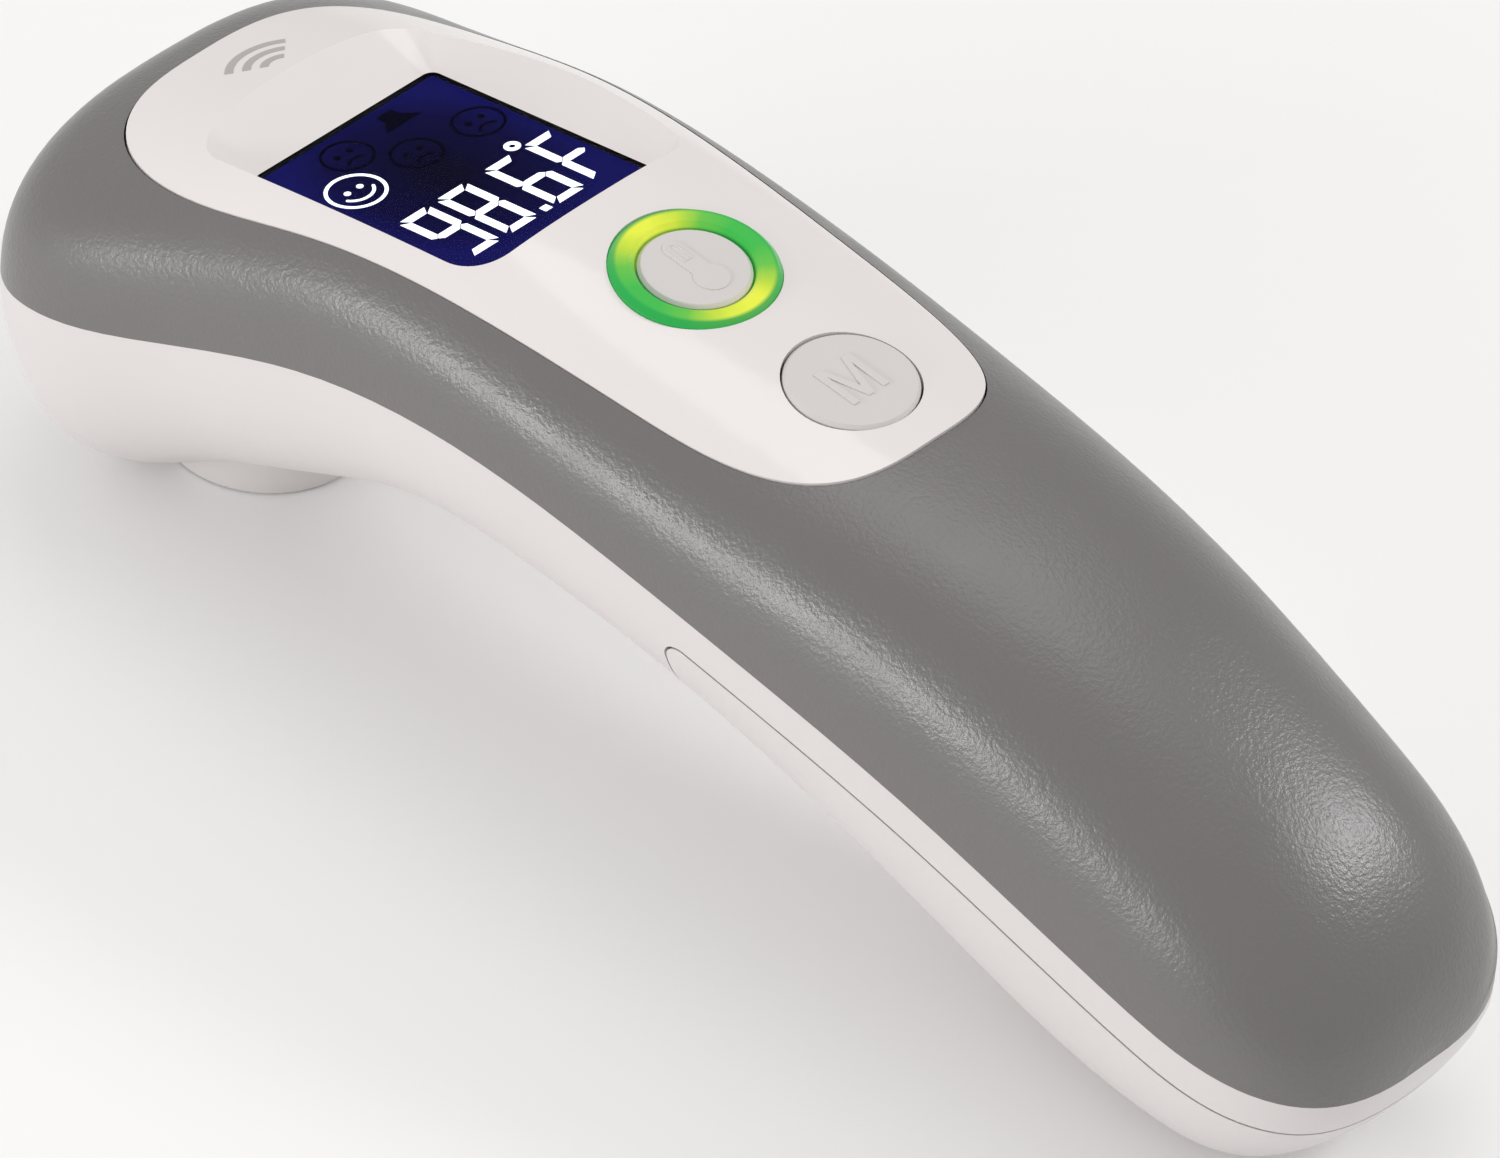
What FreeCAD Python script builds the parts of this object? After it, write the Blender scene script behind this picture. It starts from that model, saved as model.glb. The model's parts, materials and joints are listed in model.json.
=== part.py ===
"""Infrared stick thermometer: an arched, handset-like body with a display and two keys on
top, a sensor mouth under the head and a sliding battery door under the handle.

Frame, in millimetres: +X runs from the head to the tail, the body is symmetric about
Y = 0, +Z is up. The origin is under the middle of the body, on the surface it rests on.
"""
import FreeCAD, Part
import Sketcher
import math
import os
import re

Vector = FreeCAD.Vector
Placement = FreeCAD.Placement
Rotation = FreeCAD.Rotation

doc = FreeCAD.newDocument("thermometer")
sheet = doc.addObject("Spreadsheet::Sheet", "Dimensions")

# Each driving dimension: alias, value in mm (or degrees, or a plain number), meaning.
DIMENSIONS = [
    ("nose_x", -75, "front end of the body"),
    ("tail_x", 75, "rear end of the body"),
    ("wall", 2.0, "wall of both shells"),
    ("lap", 1.5, "how far an inner skin passes the parting line"),
    ("crown_power_head", 2.6, "superellipse power of the upper sections at the head"),
    ("crown_power_tail", 2.3, "the same at the tail"),
    ("belly_power_head", 2.3, "superellipse power of the lower sections at the head"),
    ("belly_power_tail", 2.1, "the same at the tail"),
    ("face_front", -67.8, "front end of the faceplate"),
    ("face_rear", 16.7, "rear end of the faceplate"),
    ("face_half", 15.85, "half width of the faceplate at face_ref"),
    ("face_ref", -30, "where face_half is measured"),
    ("face_taper", 0.06, "loss of half width per mm towards the tail"),
    ("face_nose_run", 26, "length of the rounded front of the faceplate"),
    ("face_nose_power", 3.1, "power of that rounding"),
    ("face_tail_run", 22, "length of the rounded rear of the faceplate"),
    ("face_tail_power", 3.2, "power of that rounding"),
    ("face_proud", 0.25, "how far the faceplate stands out of the shell"),
    ("face_depth", 2.25, "faceplate underside below the shell's outer skin"),
    ("face_gap", 0.15, "gap round the faceplate"),
    ("display_x", -37.8, "centre of the display"),
    ("display_z", 40.65, "height of the display plane at its centre"),
    ("display_tilt", 11.3, "rise of the display plane towards the tail, degrees"),
    ("display_length", 27.5, "visible display along the body"),
    ("display_width", 21.8, "visible display across the body"),
    ("recess_head_run", 2.3, "run of the recess wall per mm of height, head side"),
    ("recess_tail_run", 0.72, "the same, tail side"),
    ("recess_side_run", 0.86, "the same, both sides"),
    ("recess_corner", 1.0, "corner radius at the bottom of the recess"),
    ("recess_corner_run", 0.95, "growth of that radius per mm of height"),
    ("recess_height", 9, "height of the recess cutter"),
    ("tub_margin", 2.6, "wall round the recess at its bottom"),
    ("window_thickness", 0.6, "clear display window"),
    ("window_margin", 0.8, "window beyond the visible display"),
    ("gasket_thickness", 0.2, "foam frame between window and panel"),
    ("panel_thickness", 1.8, "liquid crystal panel"),
    ("backlight_thickness", 1.9, "light guide behind the panel"),
    ("holder_wall", 0.8, "wall of the display holder"),
    ("holder_fit", 0.2, "play of the display stack in its holder"),
    ("board_thickness", 1.2, "circuit boards"),
    ("board_margin", 0.8, "display board beyond the window, each end"),
    ("driver_length", 8, "display driver chip"),
    ("driver_width", 6, "the same, across"),
    ("chip_height", 1, "both chips"),
    ("chip_side", 7, "controller chip, square side"),
    ("ribbon_length", 8, "ribbon between the two boards"),
    ("ribbon_width", 10, "the same, across"),
    ("ribbon_x", -24.6, "its front end"),
    ("ribbon_z", 36.62, "its height"),
    ("board_half_width", 12, "half width of the key board"),
    ("key_x", -1.5, "midpoint between the two keys"),
    ("key_spacing", 18, "distance between the two keys"),
    ("key_board_depth", 9.5, "top of the key board below the crown"),
    ("key_board_half", 18.6, "half length of the key board"),
    ("key_travel", 0.5, "travel of both keys"),
    ("key_gap", 0.2, "radial gap round both keys"),
    ("key_proud", 0.3, "height of the key tops over the crown"),
    ("key_edge", 0.3, "rounding of the key tops"),
    ("measure_radius", 4.9, "measuring key"),
    ("mode_radius", 5.8, "mode key"),
    ("ring_outer", 7.4, "light ring, outside radius"),
    ("ring_proud", 0.5, "height of the light ring over the crown"),
    ("ring_depth", 5.6, "bottom of the light ring below the crown"),
    ("ring_edge", 0.45, "rounding of the light ring"),
    ("flange_thickness", 0.7, "retaining flange of the keys"),
    ("flange_width", 1.2, "flange beyond the key"),
    ("mode_stem_start", 4.3, "underside of the mode key's flange below the crown"),
    ("stem_radius", 1.7, "key stems"),
    ("stem_seat", 0.55, "how far the stems reach into the switches"),
    ("buzzer_radius", 4.5, "sounder"),
    ("buzzer_height", 2.6, "sounder"),
    ("board_screw_length", 3.5, "board screws without their heads"),
    ("board_screw_head", 0.9, "height of their heads"),
    ("switch_size", 6, "tactile switch, square side"),
    ("switch_height", 2.2, "tactile switch, height of its case"),
    ("switch_bore_depth", 1.2, "depth of the hole that takes the stem"),
    ("post_radius", 1.9, "screw posts of the faceplate"),
    ("post_pilot", 0.7, "pilot holes in those posts"),
    ("handle_x", 36.5, "middle of the battery bay"),
    ("handle_z", 15.65, "height of the cell axes there"),
    ("handle_tilt", 15, "fall of the battery bay towards the tail, degrees"),
    ("cell_radius", 5.15, "AAA cell"),
    ("cell_length", 43.5, "AAA cell without its button"),
    ("cell_button_radius", 1.9, "positive button of the cell"),
    ("cell_button", 1.0, "height of that button"),
    ("cell_y", 5.4, "cell axes from the middle"),
    ("bay_half", 23.8, "half length between the bay's end walls"),
    ("trough_radius", 5.4, "troughs of the battery holder"),
    ("holder_half_width", 11.3, "half width of the battery holder"),
    ("holder_low", 0.8, "underside of its troughs above the cell axes"),
    ("end_wall", 1.4, "end walls of the battery holder"),
    ("contact_thickness", 0.3, "contact plates"),
    ("contact_width", 6.8, "contact plates"),
    ("contact_height", 4.4, "contact plates"),
    ("spring_foot", 3.9, "conical cell spring, radius at its foot"),
    ("spring_head", 1.8, "the same, where it meets the cell"),
    ("spring_hole", 0.6, "hole in its head"),
    ("spring_wall", 0.3, "wall of the spring"),
    ("spring_length", 2.75, "length of the spring"),
    ("deck_low", 7.0, "underside of the deck above the cell axes"),
    ("deck_thickness", 1.5, "deck over the battery bay"),
    ("seam_drop", 4.1, "door seam below the parting line"),
    ("door_front", 6, "front end of the door"),
    ("door_gap", 0.25, "gap round the door"),
    ("door_wall", 1.8, "wall of the door"),
    ("door_corner", 2.0, "rounding of the door's front corners"),
    ("mouth_x", -58, "sensor axis"),
    ("bezel_radius", 8.5, "mouth bezel, outside"),
    ("bezel_bore", 7.0, "mouth bezel, inside"),
    ("bezel_height", 9.5, "mouth bezel"),
    ("cone_mouth", 6.3, "reflector at the mouth"),
    ("cone_throat", 2.75, "reflector at the sensor"),
    ("cone_set", 0.8, "reflector above the mouth's rim"),
    ("sensor_base", 8.6, "height of the sensor window"),
    ("sensor_radius", 2.65, "sensor can"),
    ("sensor_height", 3.9, "sensor can"),
    ("sleeve_radius", 6.5, "metal sleeve round the sensor"),
    ("sensor_board_radius", 7.5, "sensor board"),
]

# Outlines of the body, as (x, value): the parting line's height, the crown above it, the
# belly below it and the half width.
OUTLINES = {
    "parting": [(-75, 21.05), (-57, 24.55), (-37, 31.75), (-15, 34.85), (10, 32.25),
                (35, 27.15), (57, 20.55), (75, 16.25)],
    "crown": [(-75, 12.4), (-57, 15.2), (-37, 15.0), (-15, 12.8), (10, 14.2),
              (35, 16.8), (57, 15.8), (75, 11.4)],
    "belly": [(-75, 10), (-65, 24), (-53, 22.5), (-41, 21), (-29, 18.5), (-13, 18),
              (10, 18), (35, 21.8), (57, 20.5), (75, 11.5)],
    "half_width": [(-75, 27.6), (-45, 21.7), (-5, 20), (35, 18.5), (75, 16.2)],
}

# Rounding of both ends: run and power at the nose, run and power at the tail.
END_ROUNDINGS = {
    "crown": (8, 3.5, 18, 2.6),
    "belly": (10, 1.5, 13, 1.8),
    "half_width": (24, 3.2, 18.5, 2.9),
}


def fill_sheet():
    """Write every driving dimension into the sheet as text and give it its alias."""
    rows = list(DIMENSIONS)
    for name, stations in OUTLINES.items():
        for index, (x, value) in enumerate(stations, 1):
            rows.append((f"{name}_place_{index}", x, f"{name} outline, station {index}, x"))
            rows.append((f"{name}_value_{index}", value, f"{name} outline, station {index}"))
    for name, values in END_ROUNDINGS.items():
        for part, value in zip(("nose_run", "nose_power", "tail_run", "tail_power"), values):
            rows.append((f"{name}_{part}", value, f"{name} end rounding"))
    for row, (alias, value, meaning) in enumerate(rows, 1):
        sheet.set(f"A{row}", str(value))
        sheet.setAlias(f"A{row}", alias)
        sheet.set(f"B{row}", meaning)
    doc.recompute()


def dim(alias):
    return float(sheet.get(alias))


fill_sheet()
NOSE, TAIL = dim("nose_x"), dim("tail_x")
WALL, LAP = dim("wall"), dim("lap")


# ---------------------------------------------------------------- outlines of the body

def natural_spline(stations):
    """The natural cubic spline through a list of (x, value)."""
    xs = [station[0] for station in stations]
    ys = [station[1] for station in stations]
    count = len(xs)
    steps = [xs[i + 1] - xs[i] for i in range(count - 1)]
    bend, ratio, rest = [0.0] * count, [0.0] * count, [0.0] * count
    for i in range(1, count - 1):
        before, after = steps[i - 1], steps[i]
        jump = (ys[i + 1] - ys[i]) / after - (ys[i] - ys[i - 1]) / before
        pivot = 2 * (before + after) - before * ratio[i - 1]
        ratio[i] = after / pivot
        rest[i] = (6 * jump - before * rest[i - 1]) / pivot
    for i in range(count - 2, 0, -1):
        bend[i] = rest[i] - ratio[i] * bend[i + 1]

    def value(x):
        i = sum(1 for knot in xs[1:-1] if x >= knot)
        left, right, step = xs[i + 1] - x, x - xs[i], steps[i]
        cubic = (bend[i] * left ** 3 + bend[i + 1] * right ** 3) / (6 * step)
        start = (ys[i] / step - bend[i] * step / 6) * left
        finish = (ys[i + 1] / step - bend[i + 1] * step / 6) * right
        return cubic + start + finish

    return value


def outline(name):
    """The outline stored in the sheet under a name, as a function of x."""
    count = len(OUTLINES[name])
    return natural_spline([(dim(f"{name}_place_{i}"), dim(f"{name}_value_{i}"))
                           for i in range(1, count + 1)])


parting_z = outline("parting")
crown_height = outline("crown")
belly_depth = outline("belly")
half_width = outline("half_width")


def superellipse(share, power):
    """Height at a share of the run, 0 at the tip and 1 where the rounding ends."""
    return (1 - (1 - min(max(share, 0.0), 1.0)) ** power) ** (1 / power)


def end_factor(x, name, inset):
    nose, tail = NOSE + inset, TAIL - inset
    nose_share = (x - nose) / (dim(f"{name}_nose_run") - inset / 2)
    tail_share = (tail - x) / (dim(f"{name}_tail_run") - inset / 2)
    return (superellipse(nose_share, dim(f"{name}_nose_power"))
            * superellipse(tail_share, dim(f"{name}_tail_power")))


def crown_z(x, inset=0.0):
    return parting_z(x) + (crown_height(x) - inset) * end_factor(x, "crown", inset)


def blend(x, head, tail):
    share = (x - NOSE) / (TAIL - NOSE)
    return head + (tail - head) * share


# ---------------------------------------------------------------------- skins as solids

ARC_STEPS = 12        # spans of a section's spline
SKIN_STEPS = 34       # sections along the body, minus one
SKIN_START = 0.055    # share of the spacing formula left out at each tip
SKIN_BUNCHING = 1.6   # how strongly the sections gather at the tips
UP, DOWN = 1, -1


def unit_arc(power):
    """Half of a superellipse of unit half-axes, from -X over +Y to +X, as a spline."""
    points = []
    for i in range(ARC_STEPS + 1):
        angle = math.pi * i / ARC_STEPS
        c, s = math.cos(angle), math.sin(angle)
        radius = (abs(c) ** power + abs(s) ** power) ** (-1 / power)
        points.append(Vector(-radius * c, radius * s, 0))
    points[0].y = points[-1].y = 0
    curve = Part.BSplineCurve()
    curve.interpolate(Points=points, Parameters=[i / ARC_STEPS for i in range(ARC_STEPS + 1)],
                      InitialTangent=Vector(0, 1, 0), FinalTangent=Vector(0, -1, 0))
    return curve


def section(x, inset, side, lap):
    """One cross-section of the upper or lower half: an arc closed by a line at the parting
    line, or past it by the lap."""
    name, height, power = (
        ("crown", crown_height, blend(x, dim("crown_power_head"), dim("crown_power_tail")))
        if side == UP else
        ("belly", belly_depth, blend(x, dim("belly_power_head"), dim("belly_power_tail"))))
    reach = (height(x) - inset) * end_factor(x, name, inset) + lap
    half = (half_width(x) - inset) * end_factor(x, "half_width", inset)
    base = parting_z(x) - side * lap
    arc = unit_arc(power)
    for i, pole in enumerate(arc.getPoles(), 1):
        arc.setPole(i, Vector(x, pole.x * half, base + side * pole.y * reach))
    edge = arc.toShape()
    first, last = edge.valueAt(edge.FirstParameter), edge.valueAt(edge.LastParameter)
    return Part.Wire([edge, Part.makeLine(last, first)])


def section_places(inset):
    """Positions of the sections, gathered at both tips where the body rounds off."""
    nose, tail = NOSE + inset, TAIL - inset
    places = []
    for i in range(SKIN_STEPS + 1):
        share = SKIN_START + (1 - 2 * SKIN_START) * i / SKIN_STEPS
        rise, fall = share ** SKIN_BUNCHING, (1 - share) ** SKIN_BUNCHING
        turn = math.pi * rise / (rise + fall)
        places.append(nose + (tail - nose) * (1 - math.cos(turn)) / 2)
    return places


def skin(inset, side, lap=0.0):
    """The upper or lower half of the body, drawn in by an inset, as one solid."""
    return Part.makeLoft([section(x, inset, side, lap) for x in section_places(inset)],
                         True, False, False, 5)


def face_half_width(x, grow):
    front, rear = dim("face_front") - grow, dim("face_rear") + grow
    nose = superellipse((x - front) / dim("face_nose_run"), dim("face_nose_power"))
    tail = superellipse((rear - x) / dim("face_tail_run"), dim("face_tail_power"))
    return (dim("face_half") + grow - dim("face_taper") * (x - dim("face_ref"))) * nose * tail


FACE_STEPS = 22
FACE_BASE, FACE_TOP = 20.0, 60.0    # heights of the cutter that has the faceplate's outline


def face_prism(grow):
    """A prism with the faceplate's plan outline, grown by a gap."""
    front, rear = dim("face_front") - grow, dim("face_rear") + grow
    turns = [math.pi * i / FACE_STEPS for i in range(1, FACE_STEPS)]
    xs = [front + (rear - front) * (1 - math.cos(turn)) / 2 for turn in turns]
    left = [Vector(x, face_half_width(x, grow), FACE_BASE) for x in xs]
    right = [Vector(p.x, -p.y, p.z) for p in reversed(left)]
    points = [Vector(front, 0, FACE_BASE)] + left + [Vector(rear, 0, FACE_BASE)] + right
    curve = Part.BSplineCurve()
    curve.interpolate(Points=points, PeriodicFlag=True)
    return Part.Face(Part.Wire(curve.toShape())).extrude(Vector(0, 0, FACE_TOP - FACE_BASE))


DOOR_STEPS = 16
REACH = 40.0          # half width of cutters that pass through the whole body


def door_prism(grow):
    """The region of the battery door: everything below the seam and behind its front edge,
    with a rounded front corner, grown by a gap."""
    front = dim("door_front") - grow
    drop, corner = dim("seam_drop") - grow, dim("door_corner") + grow
    start, end = front + corner, TAIL + 4
    seam = []
    for i in range(DOOR_STEPS + 1):
        x = start + (end - start) * i / DOOR_STEPS
        seam.append(Vector(x, -REACH, parting_z(min(x, TAIL)) - drop))
    curve = Part.BSplineCurve()
    curve.interpolate(Points=seam)
    first, last = seam[0], seam[-1]
    low_front, low_rear = Vector(front, -REACH, -REACH), Vector(end, -REACH, -REACH)
    corner_end = Vector(front, -REACH, first.z - corner)
    middle = Vector(start - corner * math.sqrt(0.5), -REACH,
                    first.z - corner + corner * math.sqrt(0.5))
    wire = Part.Wire([Part.Arc(corner_end, middle, first).toShape(), curve.toShape(),
                      Part.makeLine(last, low_rear), Part.makeLine(low_rear, low_front),
                      Part.makeLine(low_front, corner_end)])
    return Part.Face(wire).extrude(Vector(0, 2 * REACH, 0))


def rounded_rectangle(x_low, x_high, half, radius, height):
    """A closed wire of lines and quarter arcs in a plane of constant height."""
    corners = [(x_high - radius, half - radius, 0), (x_low + radius, half - radius, 90),
               (x_low + radius, radius - half, 180), (x_high - radius, radius - half, 270)]
    arcs = []
    for x, y, start in corners:
        points = []
        for turn in (0, 45, 90):
            angle = math.radians(start + turn)
            points.append(Vector(x + radius * math.cos(angle),
                                 y + radius * math.sin(angle), height))
        arcs.append(points)
    edges = []
    for i, points in enumerate(arcs):
        edges.append(Part.Arc(*points).toShape())
        edges.append(Part.makeLine(points[2], arcs[(i + 1) % 4][0]))
    return Part.Wire(edges)


def recess_cutter():
    """The sloping walls of the display recess, in the display's own frame."""
    half_length, half = dim("display_length") / 2, dim("display_width") / 2
    height, corner = dim("recess_height"), dim("recess_corner")
    wires = []
    for level in (0.0, height):
        wires.append(rounded_rectangle(-half_length - dim("recess_head_run") * level,
                                       half_length + dim("recess_tail_run") * level,
                                       half + dim("recess_side_run") * level,
                                       corner + dim("recess_corner_run") * level, level))
    return Part.makeLoft(wires, True, True)


# ------------------------------------------------------------------------ local frames

def tilted(x, z, fall):
    """A frame on the symmetry plane whose X axis falls towards the tail, in degrees."""
    return Placement(Vector(x, 0, z), Rotation(Vector(0, 1, 0), fall))


def at(frame, x=0.0, y=0.0, z=0.0, turn=None):
    return frame.multiply(Placement(Vector(x, y, z), turn or Rotation()))


KEY_SLOPE_SPAN = dim("key_spacing") / 2
KEY_FALL = math.degrees(math.atan2(
    crown_z(dim("key_x") - KEY_SLOPE_SPAN) - crown_z(dim("key_x") + KEY_SLOPE_SPAN),
    2 * KEY_SLOPE_SPAN))
BODY = Placement()
DISPLAY = tilted(dim("display_x"), dim("display_z"), -dim("display_tilt"))
KEYS = tilted(dim("key_x"), crown_z(dim("key_x")), KEY_FALL)
HANDLE = tilted(dim("handle_x"), dim("handle_z"), dim("handle_tilt"))
MOUTH = Placement(Vector(dim("mouth_x"), 0, 0), Rotation())
ALONG_X = Rotation(Vector(0, 1, 0), 90)
MEASURE_X, MODE_X = -dim("key_spacing") / 2, dim("key_spacing") / 2


# ------------------------------------------------------------- document object helpers

nodes = {}


def node(name, thing):
    """Give a finished sub-part its label, which is also its file name."""
    thing.Label = name
    nodes[name] = thing
    return thing


def expression(text):
    """An expression over the sheet's aliases, written with plain alias names."""
    return re.sub(r"[a-z][a-z_]*", lambda word: "Dimensions." + word.group(), text)


def bind(thing, **sizes):
    for size, text in sizes.items():
        thing.setExpression(size, expression(text))


def box(name, length, width, height, frame, x, y, z):
    """A Part::Box with a given low corner in a frame; the sizes are expressions."""
    thing = doc.addObject("Part::Box", name)
    bind(thing, Length=length, Width=width, Height=height)
    thing.Placement = at(frame, x, y, z)
    return thing


def cylinder(name, radius, height, frame, x=0.0, y=0.0, z=0.0, turn=None):
    thing = doc.addObject("Part::Cylinder", name)
    bind(thing, Radius=radius, Height=height)
    thing.Placement = at(frame, x, y, z, turn)
    return thing


def feature(name, shape, frame=BODY):
    thing = doc.addObject("Part::Feature", name)
    thing.Shape = shape
    thing.Placement = frame
    return thing


def fuse(name, things):
    thing = doc.addObject("Part::MultiFuse", name)
    thing.Shapes = things
    return thing


def common(name, things):
    thing = doc.addObject("Part::MultiCommon", name)
    thing.Shapes = things
    return thing


def cut(name, base, tools):
    thing = doc.addObject("Part::Cut", name)
    thing.Base = base
    thing.Tool = tools[0] if len(tools) == 1 else fuse(name + "_tools", tools)
    return thing


def group(name, things):
    """Separate solids that share one node."""
    thing = doc.addObject("Part::Compound", name)
    thing.Links = things
    return thing


def sheet_value(text):
    """The number that an expression over the sheet's aliases gives."""
    sheet.set("D1", "=" + text)
    sheet.recompute()
    return float(sheet.get("D1"))


def sketch_on(body, plane, corners):
    """A closed polygon on one of a body's planes, each corner placed by the sheet."""
    sketch = body.newObject("Sketcher::SketchObject", body.Name + "_sketch")
    origin = next(item for item in body.Origin.OriginFeatures if item.Role == plane)
    sketch.AttachmentSupport = [(origin, "")]
    sketch.MapMode = "FlatFace"
    values = [Vector(sheet_value(across), sheet_value(upward), 0) for across, upward in corners]
    count = len(values)
    for i in range(count):
        sketch.addGeometry(Part.LineSegment(values[i], values[(i + 1) % count]), False)
    for i in range(count):
        sketch.addConstraint(Sketcher.Constraint("Coincident", i, 2, (i + 1) % count, 1))
    for i, (across, upward) in enumerate(corners):
        for kind, text, value in (("DistanceX", across, values[i].x),
                                  ("DistanceY", upward, values[i].y)):
            index = sketch.addConstraint(Sketcher.Constraint(kind, -1, 1, i, 1, value))
            sketch.setExpression(f"Constraints[{index}]", expression(text))
    return sketch


def turned(name, corners, frame):
    """A body of revolution about its frame's Z axis; corners are (radius, height)."""
    body = doc.addObject("PartDesign::Body", name)
    sketch = sketch_on(body, "XZ_Plane", corners)
    revolution = body.newObject("PartDesign::Revolution", name + "_turning")
    revolution.Profile = sketch
    revolution.ReferenceAxis = (sketch, ["V_Axis"])
    revolution.Angle = 360
    sketch.Visibility = False
    body.Placement = frame
    return body


def plate(name, corners, thickness, frame):
    """A flat plate: a polygon in its frame's XY plane, padded upwards."""
    body = doc.addObject("PartDesign::Body", name)
    sketch = sketch_on(body, "XY_Plane", corners)
    pad = body.newObject("PartDesign::Pad", name + "_pad")
    pad.Profile = sketch
    bind(pad, Length=thickness)
    body.Placement = frame
    return body


def rectangle(low_x, high_x, half):
    """Corners of a rectangle that is symmetric about the frame's X axis."""
    return [(low_x, f"0 - ({half})"), (high_x, f"0 - ({half})"), (high_x, half), (low_x, half)]


def frame_plate(name, length, width, opening_length, opening_width, height, frame, z):
    """A rectangular frame, centred in its frame and standing on height z."""
    long, wide = sheet_value(length), sheet_value(width)
    inner_long, inner_wide = sheet_value(opening_length), sheet_value(opening_width)
    outer = box(name + "_outer", length, width, height, frame, -long / 2, -wide / 2, z)
    inner = box(name + "_inner", opening_length, opening_width, height,
                frame, -inner_long / 2, -inner_wide / 2, z)
    return cut(name, outer, [inner])


# --------------------------------------------------------------------- shells and door

CASE_SCREWS = [(-29.5, 14.3), (-29.5, -14.3), (28.5, 0.0)]   # in the handle's frame
BOARD_POSTS = [(-17.0, 10.0), (-17.0, -10.0), (14.5, 7.6), (14.5, -7.6)]   # in the keys' frame
POST_INSET = 0.8       # posts end inside the wall, this far below the outer skin
BOSS_INSET = 1.9       # inner ribs overlap the wall, so that they join it


def make_upper_shell():
    """The grey upper shell with its faceplate opening and the posts for the case screws."""
    hollow = cut("upper_hollow", feature("upper_skin", skin(0, UP)),
                 [feature("upper_inside", skin(WALL, UP, LAP))])
    opened = cut("upper_opened", hollow,
                 [feature("face_opening", face_prism(dim("face_gap")))])
    low = dim("deck_low") + dim("deck_thickness") + 0.05
    posts = [cylinder(f"case_post_{i}", "post_radius", "30", HANDLE, x, y, low)
             for i, (x, y) in enumerate(CASE_SCREWS, 1)]
    limit = feature("post_limit", skin(POST_INSET, UP, 2 * LAP))
    kept = common("case_posts", [fuse("case_post_blanks", posts), limit])
    pilots = [cylinder(f"case_pilot_{i}", "post_pilot", "8", HANDLE, x, y, low - 1)
              for i, (x, y) in enumerate(CASE_SCREWS, 1)]
    return node("upper_shell", cut("upper_shell", fuse("upper_joined", [opened, kept]), pilots))


def make_lower_shell():
    """The white lower shell: mouth collar, bulkhead and the deck over the battery bay, open
    where the door goes."""
    hollow = cut("lower_hollow", feature("lower_skin", skin(0, DOWN)),
                 [feature("lower_inside", skin(WALL, DOWN, LAP))])
    without_door = cut("lower_open", hollow,
                       [feature("door_opening", door_prism(dim("door_gap")))])
    ribs_limit = feature("rib_limit", skin(BOSS_INSET, DOWN, 0))
    deck = box("deck", "74", "2 * holder_half_width + 30", "deck_thickness", HANDLE,
               -34, -dim("holder_half_width") - 15, dim("deck_low"))
    bulkhead = box("bulkhead", "1.6", "60", "30", BODY, 3.4, -30, 0)
    collar = cylinder("mouth_collar", "bezel_radius + 1.7", "bezel_height", MOUTH, z=0.5)
    ribs = common("lower_ribs", [fuse("rib_blanks", [deck, bulkhead, collar]), ribs_limit])
    skirt = doc.addObject("Part::Cone", "mouth_skirt")
    bind(skirt, Radius1="bezel_radius + 1", Radius2="bezel_radius + 4", Height="bezel_height")
    skirt.Placement = MOUTH
    holes = [cylinder(f"deck_hole_{i}", "post_pilot + 0.4", "4", HANDLE, x, y,
                      dim("deck_low") - 1) for i, (x, y) in enumerate(CASE_SCREWS, 1)]
    mouth = cylinder("mouth_hole", "bezel_radius + 0.05", "40", MOUTH, z=-20)
    floor = box("floor_cut", "200", "80", "10", BODY, -100, -40, -10)
    return node("lower_shell", cut("lower_shell",
                                   fuse("lower_joined", [without_door, ribs, skirt]),
                                   holes + [mouth, floor]))


def make_battery_door():
    """The door is the rest of the lower skin, below the seam."""
    hollow = cut("door_hollow", feature("door_skin", skin(0, DOWN)),
                 [feature("door_inside", skin(dim("door_wall"), DOWN, LAP))])
    return node("battery_door", common("battery_door",
                                       [hollow, feature("door_region", door_prism(0))]))


def make_faceplate():
    """The glossy faceplate: a curved plate with the display recess, two key holes and the
    posts that carry the key board."""
    raised = cut("face_layer", feature("face_top", skin(-dim("face_proud"), UP, LAP)),
                 [feature("face_under", skin(dim("face_depth"), UP, 2 * LAP))])
    outline_prism = feature("face_outline", face_prism(0))
    half_length, half = dim("display_length") / 2, dim("display_width") / 2
    tub_half = half + dim("tub_margin")
    tub = box("recess_tub", "display_length + 2.4 * tub_margin",
              "display_width + 2 * tub_margin", "12", DISPLAY,
              -half_length - 1.6 * dim("tub_margin"), -tub_half, 0)
    posts = []
    for i, (x, y) in enumerate(BOARD_POSTS, 1):
        posts.append(cylinder(f"face_post_{i}", "post_radius", "key_board_depth - 2",
                              KEYS, x, y, -dim("key_board_depth")))
    kept_tub = common("face_tub", [tub, feature("tub_limit", skin(-dim("face_proud"), UP, LAP))])
    blank = fuse("face_blank", [common("face_plate", [raised, outline_prism]), kept_tub] + posts)
    recess = feature("recess", recess_cutter(), DISPLAY)
    ring_hole = cylinder("ring_hole", "ring_outer + 0.05", "30", KEYS, MEASURE_X, 0, -15)
    mode_hole = cylinder("mode_hole", "mode_radius + key_gap", "30", KEYS, MODE_X, 0, -15)
    pilots = [cylinder(f"face_pilot_{i}", "post_pilot", "4", KEYS, x, y,
                       -dim("key_board_depth") - 1) for i, (x, y) in enumerate(BOARD_POSTS, 1)]
    return node("faceplate", cut("faceplate", blank, [recess, ring_hole, mode_hole] + pilots))


# ------------------------------------------------------------------------- the display

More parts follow.
